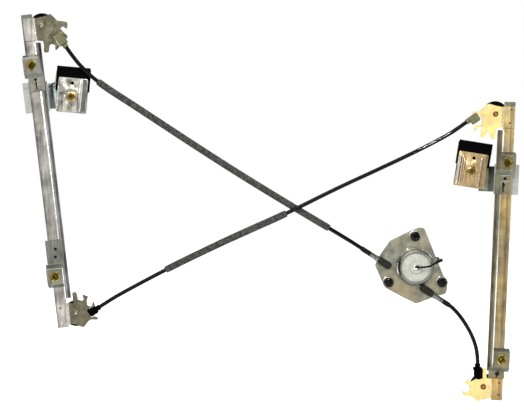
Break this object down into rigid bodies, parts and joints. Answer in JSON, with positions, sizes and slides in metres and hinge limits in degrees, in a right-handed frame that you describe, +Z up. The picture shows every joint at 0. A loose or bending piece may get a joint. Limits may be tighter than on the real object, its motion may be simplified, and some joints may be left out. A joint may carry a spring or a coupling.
{
  "type": "window regulator",
  "caption": "Dual rail cable window regulator: two leaning guide rails with pulleys, glass clamps, Bowden conduits and a drum plate for a motor.",
  "frame": {"origin": "on the drum axis, at the back of the drum plate where the motor sits", "axes": "+X to the right and +Z up as seen from the front, +Y away from the viewer, along the drum axis"},
  "size_m": [0.6631, 0.0372, 0.5176],
  "materials": {
    "grey_zinc": "grey zinc plated sheet steel",
    "yellow_zinc": "yellow chromated zinc on sheet steel",
    "plate_zinc": "zinc plated with a yellow green tint",
    "brass_zinc": "yellow passivated",
    "black_steel": "black coated",
    "bright_steel": "bright",
    "wire_rope": "greased stranded wire",
    "white_nylon": "natural nylon",
    "grey_plastic": "light grey moulding",
    "olive_plastic": "dark olive moulding",
    "black_plastic": "black moulding",
    "black_conduit": "black plastic over wound steel",
    "black_rubber": "matt rubber",
    "grey_foam": "dark grey foam sleeve"
  },
  "bodies": {
    "root": {"cross_conduit": "black_conduit", "cross_sleeve": "grey_foam", "drum_housing": "plate_zinc", "drum_plate": "plate_zinc", "left_rail": "grey_zinc", "left_rail_cable": "wire_rope", "lower_conduit": "black_conduit", "lower_drum_boot": "black_rubber", "lower_drum_cable": "wire_rope", "lower_drum_collar": "black_conduit", "lower_drum_ferrule": "bright_steel", "lower_left_cable_end": "black_rubber", "lower_left_mount_bracket": "grey_zinc", "lower_left_pulley_bracket": "grey_zinc", "lower_right_cable_end": "black_rubber", "lower_right_mount_bracket": "yellow_zinc", "lower_right_pulley_bracket": "yellow_zinc", "motor_screws": "black_steel", "mount_bushes": "brass_zinc", "pulley_axles": "bright_steel", "right_rail": "yellow_zinc", "right_rail_cable": "wire_rope", "transit_tie": "black_conduit", "upper_conduit": "black_conduit", "upper_drum_boot": "black_rubber", "upper_drum_cable": "wire_rope", "upper_drum_collar": "black_conduit", "upper_drum_ferrule": "bright_steel", "upper_left_cable_end": "olive_plastic", "upper_left_mount_bracket": "grey_zinc", "upper_left_pulley_bracket": "grey_zinc", "upper_right_cable_end": "olive_plastic", "upper_right_mount_bracket": "yellow_zinc", "upper_right_pulley_bracket": "yellow_zinc", "upper_sleeve": "grey_foam"},
    "left_carriage": {"left_slider": "grey_plastic", "left_carrier": "grey_zinc", "left_front_jaw": "grey_zinc", "left_glass_rubber": "black_rubber", "left_clamp_screw": "brass_zinc", "left_jaw_spacer": "bright_steel", "left_clamp_nut": "bright_steel", "left_carrier_rivets": "bright_steel", "left_cable_nipples": "bright_steel"},
    "upper_left_pulley_body": {"upper_left_pulley": "black_plastic"},
    "lower_left_pulley_body": {"lower_left_pulley": "black_plastic"},
    "right_carriage": {"right_slider": "grey_plastic", "right_carrier": "yellow_zinc", "right_front_jaw": "yellow_zinc", "right_glass_rubber": "black_rubber", "right_clamp_screw": "brass_zinc", "right_jaw_spacer": "bright_steel", "right_clamp_nut": "bright_steel", "right_carrier_rivets": "bright_steel", "right_cable_nipples": "bright_steel"},
    "upper_right_pulley_body": {"upper_right_pulley": "black_plastic"},
    "lower_right_pulley_body": {"lower_right_pulley": "black_plastic"},
    "drum": {"cable_drum": "white_nylon"}
  },
  "joints": [
    {"name": "left_slide", "type": "slide", "parent": "root", "child": "left_carriage", "axis": [-0.1184, 0, 0.993], "range_m": [-0.225, 0.03]},
    {"name": "right_slide", "type": "slide", "parent": "root", "child": "right_carriage", "axis": [0.0454, 0, 0.999], "range_m": [-0.225, 0.03]},
    {"name": "upper_left_pulley_spin", "type": "hinge", "parent": "root", "child": "upper_left_pulley_body", "pos_m": [-0.49749, -0.0065, 0.32108], "axis": [0, 1, 0], "range_deg": [-800, 120]},
    {"name": "lower_left_pulley_spin", "type": "hinge", "parent": "root", "child": "lower_left_pulley_body", "pos_m": [-0.45197, -0.0065, -0.06072], "axis": [0, 1, 0], "range_deg": [-800, 120]},
    {"name": "upper_right_pulley_spin", "type": "hinge", "parent": "root", "child": "upper_right_pulley_body", "pos_m": [0.10555, -0.0065, 0.204], "axis": [0, 1, 0], "range_deg": [-120, 800]},
    {"name": "lower_right_pulley_spin", "type": "hinge", "parent": "root", "child": "lower_right_pulley_body", "pos_m": [0.08909, -0.0065, -0.15833], "axis": [0, 1, 0], "range_deg": [-120, 800]},
    {"name": "drum_spin", "type": "hinge", "parent": "root", "child": "drum", "pos_m": [0, -0.0065, 0], "axis": [0, 1, 0], "range_deg": [-110, 740]}
  ],
  "couplings": [
    {"joint": "right_slide", "follows": "left_slide", "ratio": 1},
    {"joint": "upper_left_pulley_spin", "follows": "left_slide", "rad_per_m": 60.976},
    {"joint": "lower_left_pulley_spin", "follows": "left_slide", "rad_per_m": 60.976},
    {"joint": "upper_right_pulley_spin", "follows": "left_slide", "rad_per_m": -60.976},
    {"joint": "lower_right_pulley_spin", "follows": "left_slide", "rad_per_m": -60.976},
    {"joint": "drum_spin", "follows": "left_slide", "rad_per_m": -55.556}
  ]
}
